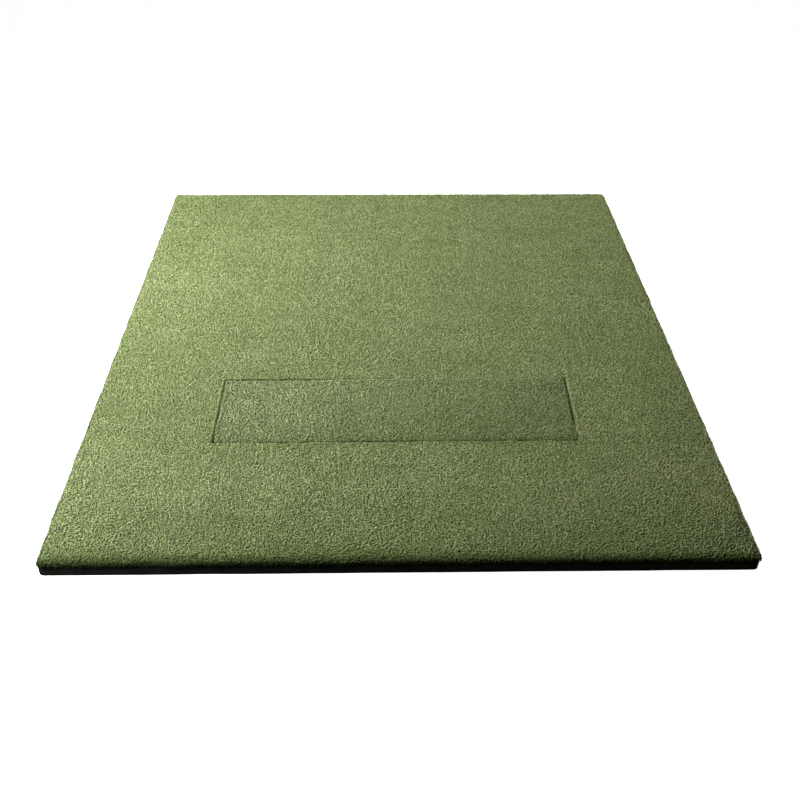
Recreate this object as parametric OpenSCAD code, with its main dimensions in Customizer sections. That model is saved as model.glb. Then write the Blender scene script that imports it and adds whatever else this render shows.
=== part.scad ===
// Golf hitting mat: a stance area of tufted turf on a foam and rubber base, with a
// replaceable hitting strip that lies in a window near the front edge and is held down
// by hook-and-loop tapes.
// Millimetres, +Z up, +X to the right, the front edge towards -Y. The origin is on the
// floor, under the middle of the mat.

/* [Mat] */
// Width of the turf, left to right
mat_w = 1219; // [900:1:1500]
// Depth of the turf, front to back
mat_d = 1524; // [1000:1:2100]
// Plan radius of the turf's four corners
turf_corner_r = 14; // [8:1:40]
// How far the pile flares out past the base on every side
pile_flare = 2; // [1:0.5:6]

/* [Layers] */
// Thickness of the rubber sheet on the floor
underlay_t = 3; // [2:0.5:5]
// Thickness of the foam base
foam_t = 13.5; // [10:0.5:25]
// Thickness of the coated cloth that the turf is tufted into
backing_t = 1.5; // [1:0.25:3]
// Height of the pile above its backing
pile_h = 12; // [8:0.5:20]

/* [Hitting strip] */
// Length of the window that the strip lies in, left to right
window_l = 710; // [400:1:800]
// Depth of the window, front to back
window_d = 220; // [160:1:320]
// Distance from the turf's front edge to the window
window_setback = 335; // [150:1:600]
// Clearance between strip and window at each end
end_gap = 3.5; // [2:0.5:6]
// Clearance between strip and window along each long side
side_gap = 2.5; // [1:0.5:5]
// How far the strip lies from the window's middle, left or right
strip_shift = -1; // [-1.5:0.5:1.5]
// How far the strip's pile lies below the stance pile
strip_sink = 1; // [0:0.5:2]

/* [Hook and loop tapes] */
// Width of each tape
tape_w = 50; // [20:1:60]
// Length of each tape, across the strip
tape_l = 180; // [100:1:200]
// Thickness of one tape, hooks or loops
tape_t = 1.5; // [1:0.25:2]
// Distance from one tape to the next
tape_pitch = 270; // [80:1:300]

/* [Hidden] */
// Base outline, under the flared pile
base_w = mat_w - 2 * pile_flare;
base_d = mat_d - 2 * pile_flare;
base_corner_r = turf_corner_r - pile_flare / 2;

// Heights of the layers' top faces
underlay_top = underlay_t;
foam_top = underlay_top + foam_t;
backing_top = foam_top + backing_t;
mat_top = backing_top + pile_h;

// Middle of the window
window_y = -mat_d / 2 + window_setback + window_d / 2;

// Hitting strip outline and layers, from the tapes up
strip_l = window_l - 2 * end_gap;
strip_d = window_d - 2 * side_gap;
strip_corner_r = 3;
strip_top = mat_top - strip_sink;
strip_backing_top = strip_top - pile_h;
strip_foam_top = strip_backing_top - backing_t;
hook_tape_top = underlay_top + tape_t;
loop_tape_top = hook_tape_top + tape_t;

// A pile leans out to its widest part-way up and rounds over at its top edge
widest_share = 0.45;
shoulder_share = 0.75;
shoulder_inset = 2;
crown_inset = 5;
strip_bulge = 0.5;
skin = 0.01;
cut = 1;

$fn = 64;
hull_fn = 32;

// Rectangle about the origin with quarter-round corners
module rounded_rect(w, d, r) {
    square([w - 2 * r, d], center = true);
    square([w, d - 2 * r], center = true);
    for (sx = [-1, 1], sy = [-1, 1])
        translate([sx * (w / 2 - r), sy * (d / 2 - r)])
            circle(r);
}

// Flat layer with quarter-round corners, from height low to height high
module layer(w, d, r, low, high) {
    translate([0, 0, low])
        linear_extrude(high - low)
            rounded_rect(w, d, r);
}

// Everything inside the window's outline, from height low to height high
module window_space(low, high) {
    translate([0, window_y, low])
        linear_extrude(high - low)
            square([window_l, window_d], center = true);
}

// A layer of the mat with the window cut out of it
module windowed_layer(w, d, r, low, high) {
    difference() {
        layer(w, d, r, low, high);
        window_space(low - cut, high + cut);
    }
}

// Block of pile that is as wide as its backing at the bottom, bulges out and rounds over
module pile_block(w, d, r, low, high, bulge) {
    h = high - low;
    hull($fn = hull_fn) {
        layer(w, d, r, low, low + skin);
        layer(w + 2 * bulge, d + 2 * bulge, r + bulge / 2,
              low + h * widest_share, low + h * shoulder_share);
        layer(w + 2 * bulge - shoulder_inset, d + 2 * bulge - shoulder_inset, r,
              low + h * (1 + shoulder_share) / 2, high - skin);
        layer(w + 2 * bulge - 2 * crown_inset, d + 2 * bulge - 2 * crown_inset, r,
              high - skin, high);
    }
}

// Moves a piece of the hitting strip to its place in the window
module at_strip() {
    translate([strip_shift, window_y, 0])
        children();
}

// Tape of the given place along the strip: -1 left, 0 centre, 1 right
module tape(place, low) {
    translate([place * tape_pitch, 0, low])
        linear_extrude(tape_t)
            square([tape_w, tape_l], center = true);
}

module rubber_underlay() {
    color([0.07, 0.07, 0.07])
        layer(base_w, base_d, base_corner_r, 0, underlay_top);
}

module foam_base() {
    color([0.05, 0.055, 0.04])
        windowed_layer(base_w, base_d, base_corner_r, underlay_top, foam_top);
}

module stance_turf_backing() {
    color([0.12, 0.13, 0.11])
        windowed_layer(base_w, base_d, base_corner_r, foam_top, backing_top);
}

module stance_turf_pile() {
    color([0.47, 0.53, 0.33])
        difference() {
            pile_block(base_w, base_d, base_corner_r, backing_top, mat_top, pile_flare);
            window_space(backing_top - cut, mat_top + cut);
        }
}

module hook_tape(place) {
    color([0.16, 0.16, 0.17])
        at_strip() tape(place, underlay_top);
}

module loop_tape(place) {
    color([0.1, 0.1, 0.1])
        at_strip() tape(place, hook_tape_top);
}

module strip_foam_pad() {
    color([0.09, 0.09, 0.09])
        at_strip() layer(strip_l, strip_d, strip_corner_r, loop_tape_top, strip_foam_top);
}

module strip_turf_backing() {
    color([0.12, 0.13, 0.11])
        at_strip() layer(strip_l, strip_d, strip_corner_r, strip_foam_top, strip_backing_top);
}

module strip_turf_pile() {
    color([0.43, 0.48, 0.32])
        at_strip()
            pile_block(strip_l, strip_d, strip_corner_r, strip_backing_top, strip_top, strip_bulge);
}

rubber_underlay();
foam_base();
stance_turf_backing();
stance_turf_pile();
hook_tape(-1);  // hook_tape_left
hook_tape(0);  // hook_tape_centre
hook_tape(1);  // hook_tape_right
loop_tape(-1);  // loop_tape_left
loop_tape(0);  // loop_tape_centre
loop_tape(1);  // loop_tape_right
strip_foam_pad();
strip_turf_backing();
strip_turf_pile();
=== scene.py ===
import math

import bpy
import numpy as np
from mathutils import Euler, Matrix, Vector


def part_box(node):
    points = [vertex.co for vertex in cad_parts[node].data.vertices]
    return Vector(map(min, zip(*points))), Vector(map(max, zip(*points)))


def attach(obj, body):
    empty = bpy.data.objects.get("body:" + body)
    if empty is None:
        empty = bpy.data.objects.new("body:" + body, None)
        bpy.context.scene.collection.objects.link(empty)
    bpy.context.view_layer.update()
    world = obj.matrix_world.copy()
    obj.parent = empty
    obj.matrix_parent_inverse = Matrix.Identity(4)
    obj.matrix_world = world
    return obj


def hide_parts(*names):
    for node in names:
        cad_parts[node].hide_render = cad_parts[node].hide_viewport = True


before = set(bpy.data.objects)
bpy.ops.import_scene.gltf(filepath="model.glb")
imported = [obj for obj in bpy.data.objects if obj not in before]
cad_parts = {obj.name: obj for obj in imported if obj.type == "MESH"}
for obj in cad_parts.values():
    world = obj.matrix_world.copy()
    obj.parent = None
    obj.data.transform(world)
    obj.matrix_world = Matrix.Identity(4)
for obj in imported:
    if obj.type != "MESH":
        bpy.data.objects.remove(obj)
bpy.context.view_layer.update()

MM = 0.001
BAKE_MAP = "OFBake"  # name of the UV map that holds each surface's place in the bake map
DENT_SCALE = 0.11  # metres from one dent in a layer's top to the next, roughly
WOBBLE_SCALE = 0.07  # the same for the wandering of its outline
ROUNDING = np.array([0.0, 0.06, 0.24, 0.5, 1.0])  # cuts across a rounded edge, by its radius
CORNER_STEP = 0.004  # metres between cuts across a rounded corner
rng = np.random.default_rng(20)


# ---------------------------------------------------------------- meshes

def mesh_object(name, verts, faces, uvs=None):
    """A smooth-shaded object from arrays: verts (n, 3), faces (m, 3 or 4) and uvs
    (m, corners, 2)."""
    verts = np.asarray(verts, np.float32)
    faces = np.asarray(faces, np.int32)
    mesh = bpy.data.meshes.new(name)
    mesh.vertices.add(len(verts))
    mesh.vertices.foreach_set("co", verts.ravel())
    mesh.loops.add(faces.size)
    mesh.loops.foreach_set("vertex_index", faces.ravel())
    mesh.polygons.add(len(faces))
    corners = faces.shape[1]
    mesh.polygons.foreach_set("loop_start", np.arange(0, faces.size, corners, dtype=np.int32))
    mesh.polygons.foreach_set("use_smooth", np.full(len(faces), True))
    if uvs is not None:
        layer = mesh.uv_layers.new(name=BAKE_MAP)
        layer.data.foreach_set("uv", np.asarray(uvs, np.float32).ravel())
    mesh.update(calc_edges=True)
    obj = bpy.data.objects.new(name, mesh)
    bpy.context.scene.collection.objects.link(obj)
    return obj


def spaced(low, high, step):
    """Evenly spaced values from low to high, about step apart."""
    return np.linspace(low, high, max(2, int(round((high - low) / step)) + 1))


def rounded_grid(half, corner, xs, ys):
    """Grid points over a rectangle, pulled in to its rounded corners, and how far in they lie."""
    gx, gy = np.meshgrid(xs, ys, indexing="ij")
    ax = np.abs(gx) - (half[0] - corner)
    ay = np.abs(gy) - (half[1] - corner)
    in_corner = (ax > 0) & (ay > 0)
    widest = np.maximum(ax, ay)
    reach = np.hypot(ax, ay)
    pull = np.where(in_corner, widest / np.where(reach > 0, reach, 1), 1)
    px = np.where(in_corner, np.sign(gx) * (half[0] - corner + ax * pull), gx)
    py = np.where(in_corner, np.sign(gy) * (half[1] - corner + ay * pull), gy)
    return px, py, corner - widest


def slab(name, centre, size, z, corner, edge_r, window=None, cell=0.015, dents=0.0, wobble=0.0,
         sag=None):
    """A closed layer with rounded corners, rounded top and bottom edges and an optional window.

    centre and size are in plan, z is (bottom, top), window is (low x, low y, high x, high y)
    about centre, dents is how far the top wanders, wobble how far the outline does and sag(x, y)
    how far the top sinks."""
    half = (size[0] / 2, size[1] / 2)
    rim = edge_r * ROUNDING

    def cuts(span, inner):
        lines = list(-span + rim) + list(span - rim)
        core = [-span + edge_r, span - edge_r]
        if corner > edge_r:
            lines += [-span + corner, span - corner]
            lines += list(-span + spaced(edge_r, corner, CORNER_STEP))
            lines += list(span - spaced(edge_r, corner, CORNER_STEP))
            core = [-span + corner, span - corner]
        marks = core if inner is None else [core[0], inner[0], inner[1], core[1]]
        for a, b in zip(marks[:-1], marks[1:]):
            lines += list(spaced(a, b, cell))
        if inner is not None:
            lines += list(inner[0] - rim[1:]) + list(inner[1] + rim[1:])
        return np.unique(np.round(lines, 6))

    xs = cuts(half[0], None if window is None else (window[0], window[2]))
    ys = cuts(half[1], None if window is None else (window[1], window[3]))
    px, py, inside = rounded_grid(half, max(corner, 1e-6), xs, ys)
    nx, ny = len(xs), len(ys)
    keep = np.ones((nx - 1, ny - 1), bool)
    if window is not None:
        mx, my = (xs[1:] + xs[:-1]) / 2, (ys[1:] + ys[:-1]) / 2
        keep = ~(((mx > window[0]) & (mx < window[2]))[:, None]
                 & ((my > window[1]) & (my < window[3]))[None, :])
        to_x = np.maximum(window[0] - xs, xs - window[2])[:, None]
        to_y = np.maximum(window[1] - ys, ys - window[3])[None, :]
        inside = np.minimum(inside, np.maximum(to_x, to_y))
    short = np.clip(edge_r - np.clip(inside, 0, None), 0, edge_r)
    drop = edge_r - np.sqrt(np.clip(edge_r ** 2 - short ** 2, 0, None))
    wander = dents * waves(px, py, DENT_SCALE)
    if sag is not None:
        wander = wander - sag(px + centre[0], py + centre[1])
    px, py = (px + wobble * waves(px, py, WOBBLE_SCALE, seed=5),
              py + wobble * waves(px, py, WOBBLE_SCALE, seed=6))
    top = np.stack([px + centre[0], py + centre[1], z[1] - drop + wander], -1)
    low = np.stack([px + centre[0], py + centre[1], z[0] + drop], -1)
    verts = np.concatenate([top.reshape(-1, 3), low.reshape(-1, 3)])
    ids = np.arange(nx * ny).reshape(nx, ny)
    below = nx * ny
    quads = []
    ci, cj = np.nonzero(keep)
    a, b = ids[ci, cj], ids[ci + 1, cj]
    c, d = ids[ci + 1, cj + 1], ids[ci, cj + 1]
    quads.append(np.stack([a, b, c, d], 1))
    quads.append(np.stack([d, c, b, a], 1) + below)
    padded = np.zeros((nx + 1, ny + 1), bool)
    padded[1:-1, 1:-1] = keep
    for di, dj, p, q in ((-1, 0, (0, 1), (0, 0)), (1, 0, (1, 0), (1, 1)),
                         (0, -1, (0, 0), (1, 0)), (0, 1, (1, 1), (0, 1))):
        open_side = keep & ~padded[1 + di:nx + di, 1 + dj:ny + dj]
        i, j = np.nonzero(open_side)
        u, v = ids[i + p[0], j + p[1]], ids[i + q[0], j + q[1]]
        quads.append(np.stack([v, u, u + below, v + below], 1))
    quads = np.concatenate(quads)
    used, renumbered = np.unique(quads, return_inverse=True)
    obj = mesh_object(name, verts[used], renumbered.reshape(quads.shape))
    obj.modifiers.new("crisp_shading", "WEIGHTED_NORMAL").keep_sharp = True
    return obj


def waves(x, y, scale, seed=3):
    """Smooth wandering from about -1 to 1 over the plan, a fixed sum of sines."""
    fixed = np.random.default_rng(seed)
    total = np.zeros(np.shape(x))
    for _ in range(7):
        angle, phase = fixed.uniform(0, 2 * math.pi, 2)
        length = scale * fixed.uniform(0.6, 2.2)
        along = (x * math.cos(angle) + y * math.sin(angle)) / length
        total = total + np.sin(2 * math.pi * along + phase)
    return total / 4


# ---------------------------------------------------------------- yarn

SIDES = 3  # corners of a yarn's section
SWATCH = 0.02  # how much of the bake map one yarn takes round its girth
ROOT_GIRTH = 0.85  # girth at the root, as a share of the widest
SWING = 1.3  # the most a tuft turns about its normal on the way up, in radians
CRIMP, CRIMP_TURNS = 0.09, 1.2  # how far a tuft waves aside, by its length, and how often


def unit(v):
    return v / np.linalg.norm(v, axis=-1, keepdims=True)


def yarns(roots, normals, length, width, curl, tint, sweep, reach, stations=(0, 0.5, 1)):
    """Curly tufts: each rises along its normal, hooks over sideways and tapers to a tip.

    sweep is the way a tuft prefers to hook, reach how far up the colour ramp its tip gets, and
    stations are the places along it, of which the last is its tip. Returns vertices, triangles
    and their places in the bake map: tint across, root to tip up."""
    n = len(roots)
    girth = np.where(np.arange(len(stations) - 1) == 0, ROOT_GIRTH, 1.0)
    side = rng.normal(size=(n, 3)) + sweep
    side = unit(side - (side * normals).sum(1, keepdims=True) * normals)
    across = np.cross(normals, side)
    swing = rng.uniform(-SWING, SWING, n)
    phase = rng.uniform(0, 2 * math.pi, n)
    crimp = CRIMP * length
    line = []
    for t in stations:
        rise = length * np.sin(curl * t) / curl
        run = length * (1 - np.cos(curl * t)) / curl
        drift = (swing * t)[:, None]
        heading = np.cos(drift) * side + np.sin(drift) * across
        wiggle = (crimp * t * np.sin(2 * math.pi * CRIMP_TURNS * t + phase))[:, None] * across
        line.append(roots + rise[:, None] * normals + run[:, None] * heading + wiggle)
    line = np.stack(line, 1)
    ahead = np.diff(line, axis=1)
    tangents = unit(np.concatenate([ahead[:, :1], (ahead[:, 1:] + ahead[:, :-1]) / 2], 1))
    u = unit(np.cross(tangents, across[:, None, :]))
    v = np.cross(tangents, u)
    rings = []
    for k in range(SIDES):
        angle = 2 * math.pi * k / SIDES
        spoke = math.cos(angle) * u + math.sin(angle) * v
        rings.append(line[:, :-1] + (width[:, None] / 2 * girth)[..., None] * spoke)
    rings = np.stack(rings, 2)
    count = rings.shape[1]
    verts = np.concatenate([rings.reshape(n, -1, 3), line[:, -1:]], 1)
    tris, across_map, up_map = [[0, 2, 1]], [[0, 0, 0]], [[0, 0, 0]]
    for r in range(count):
        for k in range(SIDES):
            a, b = r * SIDES + k, r * SIDES + (k + 1) % SIDES
            t0 = stations[r]
            if r == count - 1:
                tris.append([a, b, count * SIDES])
                across_map.append([k, k + 1, k + 0.5])
                up_map.append([t0, t0, 1])
                continue
            t1 = stations[r + 1]
            tris += [[a, b, b + SIDES], [a, b + SIDES, a + SIDES]]
            across_map += [[k, k + 1, k + 1], [k, k + 1, k]]
            up_map += [[t0, t0, t1], [t0, t1, t1]]
    tris, up_map = np.array(tris), np.array(up_map, float)
    across_map = (np.array(across_map, float) / SIDES - 0.5) * SWATCH
    each = verts.shape[1]
    all_tris = (tris[None] + (np.arange(n) * each)[:, None, None]).reshape(-1, 3)
    uv = np.empty((n,) + tris.shape + (2,))
    uv[..., 0] = tint[:, None, None] + across_map[None]
    uv[..., 1] = 0.02 + 0.96 * up_map[None] * reach[:, None, None]
    return verts.reshape(-1, 3), all_tris, uv.reshape(-1, 3, 2)


def scattered(low, high, pitch):
    """Jittered points over a plan rectangle, in staggered rows."""
    xs = np.arange(low[0], high[0] + pitch, pitch)
    ys = np.arange(low[1], high[1] + pitch, pitch * 0.87)
    gx, gy = np.meshgrid(xs, ys, indexing="ij")
    gx = gx + (np.arange(len(ys)) % 2) * pitch / 2
    points = np.stack([gx.ravel(), gy.ravel()], 1)
    return points + rng.uniform(-0.48, 0.48, points.shape) * pitch


def clumps(points, pitch):
    """The way from each plan point to the middle of its clump, and its clump's own value."""
    cell = np.floor(points / pitch).astype(int)
    cell = cell - cell.min(0) + 1
    corner = np.floor(points.min(0) / pitch) - 1
    middles = rng.uniform(0, 1, (*(cell.max(0) + 2), 3))
    nearest, best = np.full(len(points), np.inf), np.zeros((len(points), 3))
    for di in (-1, 0, 1):
        for dj in (-1, 0, 1):
            i, j = cell[:, 0] + di, cell[:, 1] + dj
            found = middles[i, j]
            place = (corner + np.stack([i, j], 1) + found[:, :2]) * pitch - points
            apart = np.hypot(place[:, 0], place[:, 1])
            closer = apart < nearest
            nearest = np.where(closer, apart, nearest)
            best[closer] = np.column_stack([place, found[:, 2]])[closer]
    return best[:, :2], best[:, 2]


def inside_by(points, half, corner):
    """How far plan points lie inside a rounded rectangle about the origin; negative outside."""
    q = np.abs(points) - (np.array(half) - corner)
    outside = np.linalg.norm(np.clip(q, 0, None), axis=-1)
    return corner - outside - np.clip(q.max(-1), None, 0)


def round_the_edge(half, corner, step):
    """Points along the outline of a rounded rectangle, with their outward directions."""
    straight_x, straight_y = 2 * (half[0] - corner), 2 * (half[1] - corner)
    bend = corner * math.pi / 2
    total = 2 * (straight_x + straight_y) + 4 * bend
    s = np.linspace(0, total, int(total / step), endpoint=False)
    s = (s + rng.uniform(-0.45, 0.45, len(s)) * step) % total
    points, outward = np.zeros((len(s), 2)), np.zeros((len(s), 2))
    start = 0.0
    for turn in range(4):
        heading = turn * math.pi / 2
        along = np.array([math.cos(heading), math.sin(heading)])
        out = np.array([along[1], -along[0]])
        run, cross = (straight_x, half[1]) if turn % 2 == 0 else (straight_y, half[0])
        on = (s >= start) & (s < start + run)
        points[on] = out * cross + along * (s[on] - start - run / 2)[:, None]
        outward[on] = out
        start += run
        on = (s >= start) & (s < start + bend)
        angle = (s[on] - start) / bend * math.pi / 2
        spoke = np.cos(angle)[:, None] * out + np.sin(angle)[:, None] * along
        centre = out * (cross - corner) + along * run / 2
        points[on] = centre + spoke * corner
        outward[on] = spoke
        start += bend
    return points, outward


# ---------------------------------------------------------------- materials

STREAKS = (55, 5, 1)  # fine streaks across the bake map, and few along it


def new_material(name):
    """A material and its Principled node."""
    material = bpy.data.materials.new(name)
    material.use_nodes = True
    return material, material.node_tree, material.node_tree.nodes["Principled BSDF"]


def ramp(tree, source, stops):
    """A colour ramp over a value, with (place, (r, g, b)) stops."""
    node = tree.nodes.new("ShaderNodeValToRGB")
    band = node.color_ramp
    while len(band.elements) < len(stops):
        band.elements.new(0.5)
    for element, (place, colour) in zip(band.elements, stops):
        element.position = place
        element.color = (*colour, 1)
    tree.links.new(source, node.inputs[0])
    return node.outputs[0]


def multiplied(tree, first, second):
    node = tree.nodes.new("ShaderNodeMix")
    node.data_type = "RGBA"
    node.blend_type = "MULTIPLY"
    node.inputs[0].default_value = 1
    tree.links.new(first, node.inputs[6])
    tree.links.new(second, node.inputs[7])
    return node.outputs[2]


def yarn_material(name, root, middle, tip, lots, shine=0.2):
    """Dyed yarn: its colour goes from a dark root, painted shade deep in the pile, to the tip,
    times the tint of its dye lot.

    lots are the stops of the tint, from the darkest lot to the palest, and shine is the
    strength of the gloss."""
    material, tree, shader = new_material(name)
    place = tree.nodes.new("ShaderNodeUVMap")
    place.uv_map = BAKE_MAP
    parts = tree.nodes.new("ShaderNodeSeparateXYZ")
    tree.links.new(place.outputs[0], parts.inputs[0])
    # the dark root end of this ramp is painted shade deep in the pile
    along = ramp(tree, parts.outputs[1], [(0, root), (0.55, middle), (1, tip)])
    tint = ramp(tree, parts.outputs[0], lots)
    stretch = tree.nodes.new("ShaderNodeMapping")
    stretch.inputs["Scale"].default_value = STREAKS
    tree.links.new(place.outputs[0], stretch.inputs[0])
    streaks = tree.nodes.new("ShaderNodeTexNoise")
    streaks.inputs["Scale"].default_value = 1
    streaks.inputs["Detail"].default_value = 3
    tree.links.new(stretch.outputs[0], streaks.inputs["Vector"])
    streak = ramp(tree, streaks.outputs[0], [(0.3, (0.82,) * 3), (0.7, (1.12,) * 3)])
    colour = multiplied(tree, multiplied(tree, along, tint), streak)
    tree.links.new(colour, shader.inputs["Base Color"])
    dull = tree.nodes.new("ShaderNodeMapRange")
    dull.inputs["To Min"].default_value = 0.95
    dull.inputs["To Max"].default_value = 0.62
    tree.links.new(parts.outputs[1], dull.inputs[0])
    tree.links.new(dull.outputs[0], shader.inputs["Roughness"])
    shader.inputs["Specular IOR Level"].default_value = shine
    return material


def foam_material(name, colour, roughness=0.8, cell_scale=900, depth=0.00015, shine=0.0):
    """Closed-cell foam, rubber or cloth: near-even colour, fine cells, faint scuffs.

    cell_scale is in cells a metre, depth how deep they look and shine the strength of the
    gloss."""
    material, tree, shader = new_material(name)
    place = tree.nodes.new("ShaderNodeTexCoord")
    scuffs = tree.nodes.new("ShaderNodeTexNoise")
    scuffs.inputs["Scale"].default_value = 38
    scuffs.inputs["Detail"].default_value = 6
    tree.links.new(place.outputs["Object"], scuffs.inputs["Vector"])
    low = tuple(0.75 * c for c in colour)
    high = tuple(1.45 * c for c in colour)
    tree.links.new(ramp(tree, scuffs.outputs[0], [(0.3, low), (0.75, high)]),
                   shader.inputs["Base Color"])
    cells = tree.nodes.new("ShaderNodeTexVoronoi")
    cells.inputs["Scale"].default_value = cell_scale
    tree.links.new(place.outputs["Object"], cells.inputs["Vector"])
    bump = tree.nodes.new("ShaderNodeBump")
    bump.inputs["Distance"].default_value = depth
    bump.inputs["Strength"].default_value = 0.5
    tree.links.new(cells.outputs["Distance"], bump.inputs["Height"])
    tree.links.new(bump.outputs[0], shader.inputs["Normal"])
    shader.inputs["Roughness"].default_value = roughness
    shader.inputs["Specular IOR Level"].default_value = shine
    return material


def dress(obj, material):
    """Gives a piece or a CAD node one material."""
    obj.data.materials.clear()
    obj.data.materials.append(material)


STANCE_LOTS = [(0.0, (0.48, 0.57, 0.36)), (0.35, (0.82, 0.87, 0.72)), (0.65, (1.0, 1.0, 1.0)),
               (1.0, (1.52, 1.42, 1.58))]
STRIP_LOTS = [(0.0, (0.42, 0.52, 0.34)), (0.35, (0.82, 0.85, 0.75)), (0.65, (1.04, 1.02, 1.03)),
              (1.0, (1.60, 1.48, 1.66))]
PLAIN_LOTS = [(0.0, (0.85,) * 3), (1.0, (1.15,) * 3)]
stance_yarn = yarn_material("stance_yarn", (0.032, 0.045, 0.009), (0.178, 0.215, 0.082),
                            (0.305, 0.342, 0.166), STANCE_LOTS)
strip_yarn = yarn_material("strip_yarn", (0.030, 0.043, 0.009), (0.158, 0.195, 0.077),
                           (0.272, 0.31, 0.157), STRIP_LOTS)
base_foam = foam_material("base_foam", (0.024, 0.025, 0.021), shine=0.12)
underlay_rubber = foam_material("underlay_rubber", (0.018, 0.018, 0.018), 0.7, 300)
strip_foam = foam_material("strip_foam", (0.02, 0.02, 0.02), 0.85, 500, 0.0003)
turf_backing = foam_material("turf_backing", (0.02, 0.022, 0.018), 0.9, 400)
tape_cloth = foam_material("tape_cloth", (0.016, 0.016, 0.018), 0.85, 900)
hook_nylon = yarn_material("hook_nylon", (0.010, 0.010, 0.012), (0.02, 0.02, 0.023),
                           (0.036, 0.036, 0.04), PLAIN_LOTS, 0.03)
loop_nylon = yarn_material("loop_nylon", (0.010, 0.010, 0.010), (0.02, 0.02, 0.02),
                           (0.03, 0.03, 0.03), PLAIN_LOTS, 0.03)


# ---------------------------------------------------------------- turf

PITCH = 2.85 * MM
YARN_LENGTH = 6.0 * MM
YARN_WIDTH = 1.9 * MM
CURL = 1.85  # how far a yarn turns from upright, in radians
RISE = math.sin(CURL) / CURL  # how high it then stands, as a share of its length
CORE_DROP = YARN_LENGTH * RISE  # from the tops of the tufts down to the solid core of the pile
CLUMP_PITCH = 3.9 * MM
STRIP_CLUMP_PITCH = 3.3 * MM
CLUMP_PULL = 0.9  # how near to their clump's middle the tips lean
PAINTED_SHADE_TO_TIPS, DARK_TIPS = 0.35, 1.1  # where painted shade starts to darken the tips too, and how fast
BURIED = MM  # how deep the field's tufts are rooted in the core
LOT_SPREAD = (0.17, 0.09)  # this and the next three are pairs for graded()
CLUMP_LEAN = (0.75, 0.25)
CLUMP_HEIGHTS = (0.28, 0.12)
CLUMP_DYES = (0.6, 0.2)
TRODDEN_FROM = 0.3  # how far back the turf starts to be trodden, as towards_back() has it
TRODDEN_DYE = 0.11  # how much paler it then gets
COMBED = 1.4  # how strongly trodden tufts are combed one way
COMB_WAY = np.array([0.8, -0.6, 0])
CORE_SPOT = (0.4, 0.1)  # the place of a core in the bake map: dye lot and height, low on the ramp where the painted shade is deep
CORE_SWATCH = (0.3, 0.04)  # how much of the bake map it takes
LENGTHS, WIDTHS, CURLS = (0.82, 1.16), (0.8, 1.2), (0.7, 1.3)  # how tufts differ, as shares
FIELD_LEAN, RIM_LEAN, TAPE_LEAN = 0.16, 0.2, 0.1  # how unevenly tufts lean
FRAY = ((1.0 * MM, 0.03, 4), (0.6 * MM, 0.1, 9))  # wandering of an edge: size, scale and seed
UP = np.array([0.0, 0.0, 1.0])


def towards_back(points):
    """Where places lie between the mat's front edge, -1, and its back edge, 1."""
    return points[:, 1] / core_half[1]


def graded(pair, place):
    """A value that is pair[0] in the mat's middle, and pair[1] more at its back edge."""
    return pair[0] + pair[1] * place


def tinted(points, bias):
    """A dye lot from 0 to 1 for each root: its own, plus slow bands across the turf.

    The lots differ less towards the front, where the turf is worn."""
    clouds = 0.05 * waves(points[:, 0], points[:, 1], 0.16, seed=8)
    rows = 0.06 * waves(points[:, 0] / 5, points[:, 1], 0.05, seed=11)
    spread = graded(LOT_SPREAD, towards_back(points))
    return np.clip(0.5 + bias + clouds + rows + rng.normal(0, spread), 0.02, 0.98)


def leaning(normals, spread):
    return unit(normals + rng.normal(0, spread, normals.shape))


def tufts(roots, normals, length, spread, painted_light, own=0.0, sweep=0.0, reach=1.0):
    """Arguments of yarns() for roots in space, with natural scatter.

    painted_light and own are biases of the dye lot: painted light and shade, and the tuft's own
    tone. Where the painted shade is deep the tips stay as dark as the parts below them. sweep and
    reach are as yarns() takes them."""
    n = len(roots)
    # deep painted shade darkens the tips as well
    reach_in_painted_shade = np.clip(1 + DARK_TIPS * np.minimum(painted_light + PAINTED_SHADE_TO_TIPS, 0), 0.1, 1)
    return (roots, leaning(normals, spread), length * rng.uniform(*LENGTHS, n),
            YARN_WIDTH * rng.uniform(*WIDTHS, n), CURL * rng.uniform(*CURLS, n),
            tinted(roots, painted_light + own), np.zeros((n, 3)) + sweep, reach * reach_in_painted_shade)


def field_tufts(plan, height, pitch, painted_light):
    """The tufts of the open turf, gathered in small clumps of uneven height and dye.

    Towards the front the clumps are flatter and more alike, and the tufts are combed one way."""
    toward, own = clumps(plan, pitch)
    place = towards_back(plan)
    pull = CLUMP_PULL * graded(CLUMP_LEAN, place)
    normals = np.column_stack([pull[:, None] * toward / CORE_DROP, np.ones(len(plan))])
    roots = np.column_stack([plan, np.broadcast_to(height, len(plan))])
    length = 0.98 + graded(CLUMP_HEIGHTS, place) * (own - 0.5)
    trodden = np.clip(TRODDEN_FROM - place, 0, None)
    dye = graded(CLUMP_DYES, place) * (own - 0.5) + TRODDEN_DYE * np.clip(trodden, None, 1)
    combed = COMBED * trodden[:, None] * COMB_WAY
    return tufts(roots, unit(normals), YARN_LENGTH * length, FIELD_LEAN, painted_light, dye, sweep=combed)


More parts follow.
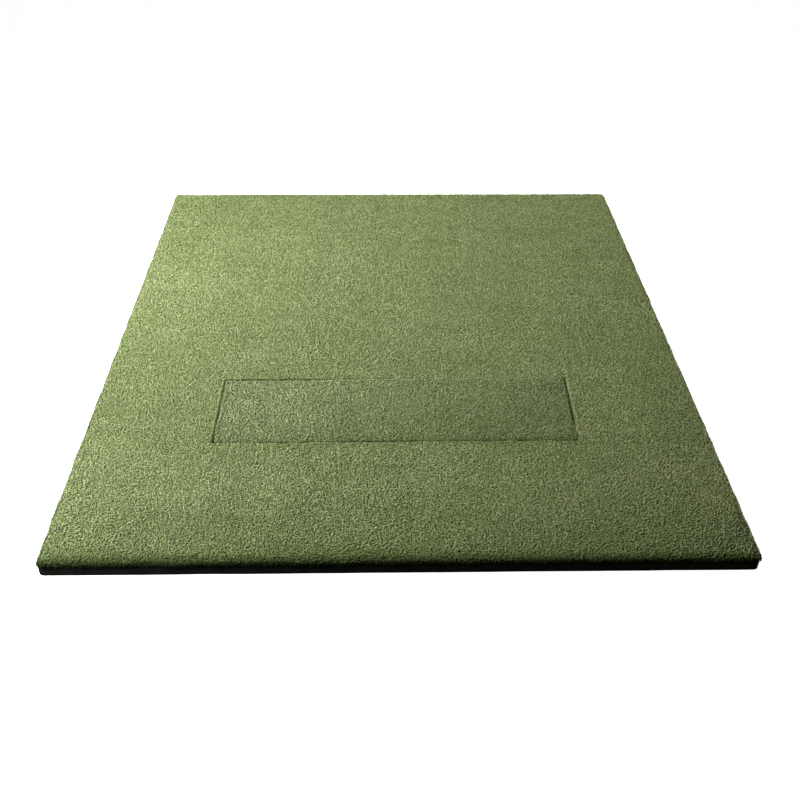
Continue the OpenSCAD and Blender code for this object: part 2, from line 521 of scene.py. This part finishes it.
def rim_tufts(half, corner, centre, core_top, radius, rows, facing, lap, sag, painted_light):
    """Rows of tufts round a core's edge, whose tips sweep back up over it.

    A row is (angle from upright, drop below the arc, length as a share of YARN_LENGTH, sweep,
    reach, spacing in pitches). facing is 1 on an outline and -1 round a window. lap(x, y) is
    how much further out the pile reaches, sag how far it sinks and painted_light the painted
    light and shade on it, as a bias of its dye lot."""
    found = []
    for angle, drop, share, sweep, reach, spacing in rows:
        points, outward = round_the_edge(half, corner, PITCH * spacing)
        away = facing * outward
        wander = sum(size * waves(*points.T, scale, seed) for size, scale, seed in FRAY)
        wander = wander + lap(*(points + centre).T)
        across = radius * (math.sin(angle) - 1) + wander[:, None]
        roots = np.zeros((len(points), 3))
        roots[:, :2] = points + away * across + centre
        roots[:, 2] = core_top - radius + radius * math.cos(angle) - drop
        roots[:, 2] -= sag(roots[:, 0], roots[:, 1])
        normals, back_up = np.zeros_like(roots), np.zeros_like(roots)
        normals[:, :2], normals[:, 2] = away * math.sin(angle), math.cos(angle)
        back_up[:, :2], back_up[:, 2] = -away * math.cos(angle), math.sin(angle)
        found.append(tufts(roots, normals, YARN_LENGTH * share, RIM_LEAN,
                           painted_light(*roots[:, :2].T), sweep=sweep * back_up, reach=reach))
    return found


def gathered(groups):
    return [np.concatenate(column) for column in zip(*groups)]


def yarn_pieces(name, columns, tiles, low, high, material):
    """Splits tufts into a grid of pieces by where they are rooted."""
    roots = columns[0]
    nx, ny = tiles
    ix = np.clip(((roots[:, 0] - low[0]) / (high[0] - low[0]) * nx).astype(int), 0, nx - 1)
    iy = np.clip(((roots[:, 1] - low[1]) / (high[1] - low[1]) * ny).astype(int), 0, ny - 1)
    made = []
    for i in range(nx):
        for j in range(ny):
            here = (ix == i) & (iy == j)
            verts, faces, uvs = yarns(*[column[here] for column in columns])
            piece = mesh_object(f"{name}_{i + 1}_{j + 1}", verts, faces, uvs)
            dress(piece, material)
            made.append(piece)
    return made


def stand_for(piece, body, slot, *nodes):
    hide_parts(*nodes)
    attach(piece, body)


def middle_of(node):
    low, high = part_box(node)
    return np.array([(low[0] + high[0]) / 2, (low[1] + high[1]) / 2])


def give_core_map(obj):
    """Sets one place in the bake map for a whole core, spread over a small part of it."""
    layer = obj.data.uv_layers.new(name=BAKE_MAP)
    count = len(obj.data.loops)
    index = np.empty(count, np.int32)
    obj.data.loops.foreach_get("vertex_index", index)
    co = np.empty(len(obj.data.vertices) * 3, np.float32)
    obj.data.vertices.foreach_get("co", co)
    co = co.reshape(-1, 3)[index]
    span = co.max(0) - co.min(0)
    uv = (co[:, :2] - co[:, :2].min(0)) / span[:2]
    uv = np.stack([CORE_SPOT[0] + CORE_SWATCH[0] * (uv[:, 0] - 0.5),
                   CORE_SPOT[1] + CORE_SWATCH[1] * uv[:, 1]], 1)
    layer.data.foreach_set("uv", uv.astype(np.float32).ravel())


foam_low, foam_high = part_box("foam_base")
pad_low, pad_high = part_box("strip_foam_pad")
stance_back_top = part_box("stance_turf_backing")[1][2]
strip_back_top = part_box("strip_turf_backing")[1][2]
stance_core_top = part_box("stance_turf_pile")[1][2] - CORE_DROP
strip_core_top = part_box("strip_turf_pile")[1][2] - CORE_DROP
TAPE_GROUND = 0.5 * MM  # how thick the woven part of a tape is
TAPE_SELVAGE = 1.5 * MM  # bare border of a tape
HOOK = (1.7 * MM, 0.3 * MM, 2.7, 1.25 * MM)  # length, width, curl and pitch
LOOP = (1.5 * MM, 0.22 * MM, 2.2, 1.1 * MM)
TAPE_STATIONS = (0, 0.35, 0.7, 1)
BASE_BORDER = 0.1  # metres from the mat's outline within which no vertex belongs to the window
MAT_WOBBLE, STRIP_WOBBLE = 0.3 * MM, 0.25 * MM  # how far the outlines of the layers wander
UNDERLAY_EDGE, FOAM_EDGE, BACKING_EDGE = 0.6 * MM, 1.2 * MM, 0.4 * MM  # radii of their edges
STRIP_CORNER = 3 * MM  # radius of the corners of the strip's pad and backing


def window_of(node, border):
    """Plan box of the opening in a layer: its vertices that lie further in than the border."""
    low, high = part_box(node)
    inner = [v.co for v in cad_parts[node].data.vertices
             if low[0] + border < v.co.x < high[0] - border
             and low[1] + border < v.co.y < high[1] - border]
    xs, ys = [p.x for p in inner], [p.y for p in inner]
    return np.array([min(xs), min(ys)]), np.array([max(xs), max(ys)])


window_low, window_high = window_of("foam_base", BASE_BORDER)
window_mid = (window_low + window_high) / 2
window_half = (window_high - window_low) / 2
mat_mid = middle_of("stance_turf_pile")
strip_mid = middle_of("strip_turf_pile")
base_half = np.array([foam_high[0] - foam_low[0], foam_high[1] - foam_low[1]]) / 2
base_corner = 10 * MM
core_half = base_half + 0.3 * MM
core_corner = 9 * MM
core_round = 2.5 * MM  # radius of the pile's edge along its outline
STANCE_DENTS, STRIP_DENTS = 0.4 * MM, 0.3 * MM  # how far the tops of the cores wander
STRIP_CELL = 0.004  # metres between cuts across the strip's core
OUTER_ROWS = [
    (0.25, 0, 0.9, 1.0, 0.95, 0.9),
    (0.7, 0, 0.8, 0.9, 0.66, 0.9),
    (1.1, 0, 0.66, 0.6, 0.55, 0.9),
    (1.4, 0, 0.6, 0.5, 0.5, 0.9),
    (1.5, 1.5 * MM, 0.55, 0.4, 0.46, 0.9),
    (1.5, 2.8 * MM, 0.5, 0.4, 0.42, 1.0),
    (1.8, 2.6 * MM, 0.6, 0, 0.8, 9),
]  # as rim_tufts() reads them; the reach falling row by row down the side is painted shade, and the last row is a few stray tufts that stick out
# the reach falls row by row down into the seams as painted shade
SEAM_ROWS = [
    (0.1, 0, 0.95, 1.2, 1, 0.9),
    (0.6, 0, 0.75, 1.0, 0.75, 0.9),
    (1.2, 1 * MM, 0.65, 0.6, 0.55, 1.0),
    (1.4, 1 * MM, 0.9, 0.3, 0.5, 0.9),
]
strip_half = np.array([pad_high[0] - pad_low[0], pad_high[1] - pad_low[1]]) / 2
seam_round = 2.5 * MM  # radius of the pile's edges along the seams
SEAM_OPEN = 1.5 * MM  # how far the pile's core stands back from its backing along the seams
SEAM_CORNER = 3 * MM  # radius of the pile's corners along the seams
STRIP_SLIP = 1 * MM  # how far the strip's pile lies towards the back of its backing
WINDOW_EASE = MM * np.array([-1.3, -0.8, 1.0, 2])  # how much wider its window is, by side
PAINTED_POOLS = [
    (-0.5, 0.68, 0.22, -0.14),
    (-0.54, 0.19, 0.13, 0.13),
    (0.2, 0.35, 0.22, -0.07),
    (0.45, -0.29, 0.12, 0.09),
]  # painted pools of light and shade on the stance pile: x, y, size and bias of the dye lot
FRONT_SHADE = (-1.4, 0.3, 12 * MM)  # painted shade of the front edge, more at its right end, and its reach
PALE_BAND = (0.13, 0.2, 0.09)  # how pale, how far from the front edge, and how wide
SEAM_SHADE = 6 * MM  # how far from the strip's seams their shading reaches


def nowhere(x, y):
    return np.zeros(np.shape(x))


def near(distance, reach):
    """1 at no distance and less further off, about a third at the reach."""
    return np.exp(-distance / reach)


def rising(value, start, run):
    """0 up to the start and 1 from a run beyond it."""
    return np.clip((value - start) / run, 0, 1)


def shares_of(x, y, middle, half):
    """Where plan places lie across and along a rectangle, from -1 to 1."""
    return (x - middle[0]) / half[0], (y - middle[1]) / half[1]


def stance_sag(x, y):
    """How far the stance pile sinks towards the mat's outline and the back and left sides of the
    window. It stands up along the window's other two sides."""
    place = np.stack([x, y], -1)
    from_rim = np.clip(inside_by(place - mat_mid, core_half, core_corner), 0, None)
    across, along = x - window_mid[0], y - window_mid[1]
    from_seam = np.clip(-inside_by(place - window_mid, window_half, SEAM_CORNER), 0, None)
    sinking = (along > window_half[1] - SEAM_CORNER) | (across < -window_half[0] + SEAM_CORNER)
    return MM * (3.2 * near(from_rim, 5.5 * MM)
                 + np.where(sinking, 1.7, -0.6) * near(from_seam, 4 * MM))


def stance_lap(x, y):
    """How far the stance pile reaches into the seam round the strip. It stands back along most
    of the seam, and reaches in only along the front of its right side."""
    across, along = shares_of(x, y, window_mid, window_half)
    at_back = (along > 1) * (-0.8 - 2.2 * rising(across, -0.4, 0.3))
    at_right = (across > 1) * np.clip(0.6 - 5.5 * along, -4.2, 1.2)
    at_front = (along < -1) * -1.2 * np.clip(0.3 - 2 * across, 0, 1)
    at_left = (across < -1) * (-1.2 - 0.5 * along)
    return MM * (at_back + at_right + at_front + at_left)


def stance_painted_light(x, y):
    """Painted light and shade on the stance pile, as a bias of its dye lot.

    It is painted darker along the front edge, whose face lies in shade, and to the left of the
    strip and behind its left half, where the seam lies in shade; it is painted paler to the right
    of the strip and before it, where the seam's edge catches the light, and in a band further
    forward."""
    front = np.clip(y - mat_mid[1] + core_half[1], 0, None)
    across, along = x - window_mid[0], y - window_mid[1]
    from_window = -inside_by(np.stack([across, along], -1), window_half, SEAM_CORNER)
    from_seam = np.clip(from_window, 0, None)
    left = (across < -window_half[0] + SEAM_CORNER) & (np.abs(along) < window_half[1])
    right = (across > window_half[0] - SEAM_CORNER) & (np.abs(along) < window_half[1])
    behind = (along > window_half[1] - SEAM_CORNER) * np.clip(0.6 - 4 * across, 0, 1)
    before = along < -window_half[1] + SEAM_CORNER
    shade, shade_right, shade_depth = FRONT_SHADE
    pale, pale_at, pale_width = PALE_BAND
    # painted shade at the front edge and at the strip's left and back seams, painted highlights on
    # the seam edges to its right and before it, and painted pools of light and shade
    return ((shade + shade_right * (x - mat_mid[0]) / core_half[0]) * near(front, shade_depth)
            + pale * np.exp(-((front - pale_at) / pale_width) ** 2)
            + (0.25 * right + 0.15 * before - 0.4 * left - 0.3 * behind)
            * near(from_seam, SEAM_SHADE)
            + sum(bias * np.exp(-((x - px) ** 2 + (y - py) ** 2) / size ** 2)
                  for px, py, size, bias in PAINTED_POOLS))


def strip_stretch(x, y):
    """The strip's pile is not quite square: how far each place of it lies from where it should."""
    across, along = shares_of(x, y, strip_mid, strip_half)
    back = rising(along, 0.6, 0.4) * rising(across, -0.5, 0.5)
    front = rising(-along, 0.6, 0.4) * rising(-across, 0.2, 0.3)
    right = rising(across, 0.9, 0.1) * np.clip(0.55 + 0.5 * along, 0, 1)
    left = rising(-across, 0.9, 0.1)
    return MM * np.column_stack([3.2 * right - 2.8 * left, 4.2 * back - 1.8 * front])


def strip_sides(x, y):
    """How far a place on the strip lies from its left, right, front and back edges."""
    across, along = x - strip_mid[0], y - strip_mid[1]
    return [np.clip(d - SEAM_OPEN, 0, None) for d in
            (strip_half[0] + across, strip_half[0] - across,
             strip_half[1] + along, strip_half[1] - along)]


def strip_sag(x, y):
    """How far the strip's pile sinks to its front and right; it stands up at its back and left."""
    left, right, front, back = strip_sides(x, y)
    proud = 1.3 * np.clip((x - strip_mid[0]) / strip_half[0] + 0.5, 0, 0.3) / 0.3
    return MM * (2.4 * near(front, 7 * MM) + 1.0 * near(right, 8 * MM)
                 - proud * near(back, 5 * MM) - 0.8 * near(left, 5 * MM))


def strip_painted_light(x, y):
    """Painted light and shade on the strip, as a bias of its dye lot: darker to the right and a
    little to the front, as the lamps' light falls off, painted shade along its front and right
    edges, where the seams lie in shade, and a painted highlight along most of its back edge."""
    _, right, front, back = strip_sides(x, y)
    across, along = shares_of(x, y, strip_mid, strip_half)
    # painted falloff of the light, painted seam shade at the front and right, painted highlight at
    # the back
    return (-0.15 * np.clip(across, None, 0.8) + 0.05 * along
            - 0.6 * near(front, 5.5 * MM) - 0.15 * near(right, 5 * MM)
            + 0.5 * (across > -0.5) * near(back, 5 * MM))


def stance_turf():
    """Pile of the stance area: a dense core and the tufts that stand out of it."""
    hole = np.concatenate([window_low - mat_mid - SEAM_OPEN, window_high - mat_mid + SEAM_OPEN])
    hole += WINDOW_EASE
    core = slab("stance_pile_core", mat_mid, 2 * core_half, (stance_back_top, stance_core_top),
                core_corner, core_round, window=hole, dents=STANCE_DENTS, sag=stance_sag)
    give_core_map(core)
    dress(core, stance_yarn)
    stand_for(core, "mat", "stance_yarn", "stance_turf_pile")
    points = scattered(-core_half, core_half, PITCH)
    flat = inside_by(points, core_half, core_corner) > core_round
    edge = window_half + SEAM_OPEN
    flat &= inside_by(points + mat_mid - window_mid, edge, SEAM_CORNER) < -seam_round
    points = points[flat] + mat_mid
    height = stance_core_top - BURIED + STANCE_DENTS * waves(points[:, 0], points[:, 1], DENT_SCALE)
    height = height - stance_sag(*points.T)
    groups = [field_tufts(points, height, CLUMP_PITCH, stance_painted_light(*points.T))]
    groups += rim_tufts(core_half, core_corner, mat_mid, stance_core_top, core_round, OUTER_ROWS,
                        1, nowhere, stance_sag, stance_painted_light)
    groups += rim_tufts(edge, SEAM_CORNER, window_mid, stance_core_top, seam_round, SEAM_ROWS, -1,
                        stance_lap, stance_sag, stance_painted_light)
    pieces = yarn_pieces("stance_yarn", gathered(groups), (3, 6), -core_half, core_half,
                         stance_yarn)
    for piece in pieces:
        stand_for(piece, "mat", "stance_yarn", "stance_turf_pile")


def strip_turf():
    """Pile of the hitting strip."""
    half = strip_half - SEAM_OPEN
    middle = strip_mid + [0, STRIP_SLIP]
    core = slab("strip_pile_core", middle, 2 * half, (strip_back_top, strip_core_top),
                SEAM_CORNER, seam_round, cell=STRIP_CELL, dents=STRIP_DENTS, sag=strip_sag)
    give_core_map(core)
    dress(core, strip_yarn)
    stand_for(core, "hitting_strip", "strip_yarn", "strip_turf_pile")
    points = scattered(-half, half, PITCH)
    points = points[inside_by(points, half, SEAM_CORNER) > seam_round] + middle
    height = strip_core_top - BURIED - strip_sag(*points.T)
    groups = [field_tufts(points, height, STRIP_CLUMP_PITCH, strip_painted_light(*points.T))]
    groups += rim_tufts(half, SEAM_CORNER, middle, strip_core_top, seam_round, SEAM_ROWS, 1,
                        nowhere, strip_sag, strip_painted_light)
    for group in groups:
        group[0][:, :2] += strip_stretch(*group[0][:, :2].T)
    co = np.empty(len(core.data.vertices) * 3, np.float32)
    core.data.vertices.foreach_get("co", co)
    co = co.reshape(-1, 3)
    co[:, :2] += strip_stretch(*co[:, :2].T)
    core.data.vertices.foreach_set("co", co.ravel())
    core.data.update()
    pieces = yarn_pieces("strip_yarn", gathered(groups), (2, 1), middle - half, middle + half,
                         strip_yarn)
    for piece in pieces:
        stand_for(piece, "hitting_strip", "strip_yarn", "strip_turf_pile")


# ---------------------------------------------------------------- layers under the turf

def flat_layer(name, node, half, corner, body, slot, material, **shape):
    """A layer in the place of a CAD node, with soft edges and an outline that wanders a little."""
    low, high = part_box(node)
    layer = slab(name, middle_of(node), 2 * half, (low[2], high[2]), corner, **shape)
    dress(layer, material)
    stand_for(layer, body, slot, node)
    return layer


def tape_half(name, node, body, slot, base_material, pile_material, up, tuft):
    """Half of a hook-and-loop tape: its woven ground and the hooks or loops on one face.

    up is 1 for a tape that faces up and -1 for one that faces down; tuft is (length, width,
    curl, pitch)."""
    low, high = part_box(node)
    half = np.array([high[0] - low[0], high[1] - low[1]]) / 2
    ground = (low[2], low[2] + TAPE_GROUND) if up > 0 else (high[2] - TAPE_GROUND, high[2])
    layer = slab(name + "_ground", middle_of(node), 2 * half, ground, 0.5 * MM, 0.15 * MM,
                 cell=0.01, wobble=0.15 * MM)
    dress(layer, base_material)
    stand_for(layer, body, slot, node)
    length, width, curl, pitch = tuft
    points = scattered(-half + TAPE_SELVAGE, half - TAPE_SELVAGE, pitch)
    points = points[inside_by(points, half - TAPE_SELVAGE, MM) > 0] + middle_of(node)
    n = len(points)
    roots = np.column_stack([points, np.full(n, ground[1] if up > 0 else ground[0])])
    verts, faces, uvs = yarns(roots, leaning(np.tile(up * UP, (n, 1)), TAPE_LEAN),
                              length * rng.uniform(0.9, 1.1, n), np.full(n, width),
                              curl * rng.uniform(0.85, 1.1, n), rng.uniform(0.2, 0.8, n),
                              np.zeros((n, 3)), np.ones(n), stations=TAPE_STATIONS)
    pile = mesh_object(name + "_pile", verts, faces, uvs)
    dress(pile, pile_material)
    stand_for(pile, body, slot, node)


def layers_below():
    """The base, the backings, the pad under the strip and the tapes."""
    hole = np.concatenate([window_low - mat_mid, window_high - mat_mid])
    underlay = flat_layer("underlay_sheet", "rubber_underlay", base_half, base_corner, "mat",
                          "underlay_rubber", underlay_rubber, edge_r=UNDERLAY_EDGE,
                          wobble=MAT_WOBBLE)
    base = flat_layer("foam_base_block", "foam_base", base_half, base_corner, "mat", "base_foam",
                      base_foam, edge_r=FOAM_EDGE, window=hole, wobble=MAT_WOBBLE)
    stance_backing = flat_layer("stance_backing_sheet", "stance_turf_backing", base_half,
                                base_corner, "mat", "turf_backing", turf_backing,
                                edge_r=BACKING_EDGE, window=hole, wobble=MAT_WOBBLE)
    pad = flat_layer("strip_pad_block", "strip_foam_pad", strip_half, STRIP_CORNER,
                     "hitting_strip", "strip_foam", strip_foam, edge_r=FOAM_EDGE,
                     wobble=STRIP_WOBBLE)
    strip_backing = flat_layer("strip_backing_sheet", "strip_turf_backing", strip_half,
                               STRIP_CORNER, "hitting_strip", "turf_backing", turf_backing,
                               edge_r=BACKING_EDGE, wobble=STRIP_WOBBLE)
    for side in ("left", "centre", "right"):
        tape_half("hooks_" + side, "hook_tape_" + side, "mat", "hook_tape", tape_cloth,
                  hook_nylon, 1, HOOK)
        tape_half("loops_" + side, "loop_tape_" + side, "hitting_strip", "loop_tape", tape_cloth,
                  loop_nylon, -1, LOOP)


# ---------------------------------------------------------------- studio

CAMERA_PLACE = (-0.0334, -2.0739, 1.2475)
CAMERA_DOWN, CAMERA_TURN, CAMERA_ROLL = 34.292, -1.303, 0.422  # degrees
LENS, SENSOR = 47.815, 36.0  # millimetres
FLOOR_REACH, WALL_TOP, WALL_SIDES = 14.0, 9.0, 48
FLOOR_DROP = 0.2 * MM  # the floor lies this far below the mat, so that the two don't meet
WIDE_BEAM = 176  # degrees


def camera():
    lens = bpy.data.cameras.new("camera")
    lens.sensor_fit = "HORIZONTAL"
    lens.sensor_width, lens.lens = SENSOR, LENS
    lens.clip_start, lens.clip_end = 0.05, 100
    view = bpy.data.objects.new("camera", lens)
    down, turn, roll = (math.radians(a) for a in (CAMERA_DOWN, CAMERA_TURN, CAMERA_ROLL))
    facing = Euler((0, 0, turn)).to_matrix() @ Euler((math.pi / 2 - down, 0, 0)).to_matrix()
    facing = facing @ Euler((0, 0, roll)).to_matrix()
    view.matrix_world = facing.to_4x4()
    view.location = CAMERA_PLACE
    bpy.context.scene.collection.objects.link(view)
    bpy.context.scene.camera = view


def soft_spot(name, place, aim, cone, radius, power, blue=1.0):
    """A round studio lamp whose beam fades all the way from its middle to the edge of its cone.

    cone is in degrees, power in watts, and blue tints its light: 1 is white."""
    data = bpy.data.lights.new(name, "SPOT")
    data.spot_size, data.spot_blend = math.radians(cone), 1.0
    data.shadow_soft_size, data.energy = radius, power
    data.color = (1, 1, blue)
    lamp = bpy.data.objects.new(name, data)
    lamp.location = place
    lamp.rotation_euler = (Vector(aim) - Vector(place)).to_track_quat("-Z", "Y").to_euler()
    bpy.context.scene.collection.objects.link(lamp)


def studio():
    """A pale floor and backdrop that light nothing themselves, a key lamp at the left, a lamp at
    the back, a dim one low in front, and a faint even light from all round."""
    pale, _, shader = new_material("studio_white")
    shader.inputs["Base Color"].default_value = (0.9, 0.9, 0.9, 1)
    shader.inputs["Roughness"].default_value = 1
    shader.inputs["Specular IOR Level"].default_value = 0
    shader.inputs["Emission Color"].default_value = (1, 1, 1, 1)
    shader.inputs["Emission Strength"].default_value = 0.96
    corners = [(-1, -1, 0), (1, -1, 0), (1, 1, 0), (-1, 1, 0)]
    floor = mesh_object("studio_floor", FLOOR_REACH * np.array(corners), [[0, 1, 2, 3]])
    floor.location.z = -FLOOR_DROP
    ring = [(FLOOR_REACH * math.cos(a), FLOOR_REACH * math.sin(a)) for a in
            np.linspace(0, 2 * math.pi, WALL_SIDES, endpoint=False)]
    walls = [(x, y, z) for z in (-0.01, WALL_TOP) for x, y in ring]
    sides = []
    for k in range(WALL_SIDES):
        after = (k + 1) % WALL_SIDES
        sides.append([after, k, k + WALL_SIDES, after + WALL_SIDES])
    backdrop = mesh_object("studio_backdrop", walls, sides)
    for stand in (floor, backdrop):
        dress(stand, pale)
        stand.visible_diffuse = stand.visible_glossy = False
        stand.visible_shadow = False
    soft_spot("key", (-2.6, 0.2, 1.62), (-1.14, 0.09, 0.0), 68.2, 0.15, 2080, 1.05)
    soft_spot("back_lamp", (0.69, 1.39, 1.0), (0.3, -0.2, 0.0), WIDE_BEAM, 0.1, 77, 0.92)
    soft_spot("low_lamp", (-0.83, -0.9, 0.45), (0.0, -0.4, 0.0), WIDE_BEAM, 0.15, 17)
    world = bpy.data.worlds.new("studio")
    world.use_nodes = True
    world.node_tree.nodes["Background"].inputs[0].default_value = (1, 1, 0.95, 1)
    world.node_tree.nodes["Background"].inputs[1].default_value = 0.038
    bpy.context.scene.world = world
    bpy.context.scene.view_settings.view_transform = "Standard"


camera()
stance_turf()
strip_turf()
layers_below()
studio()
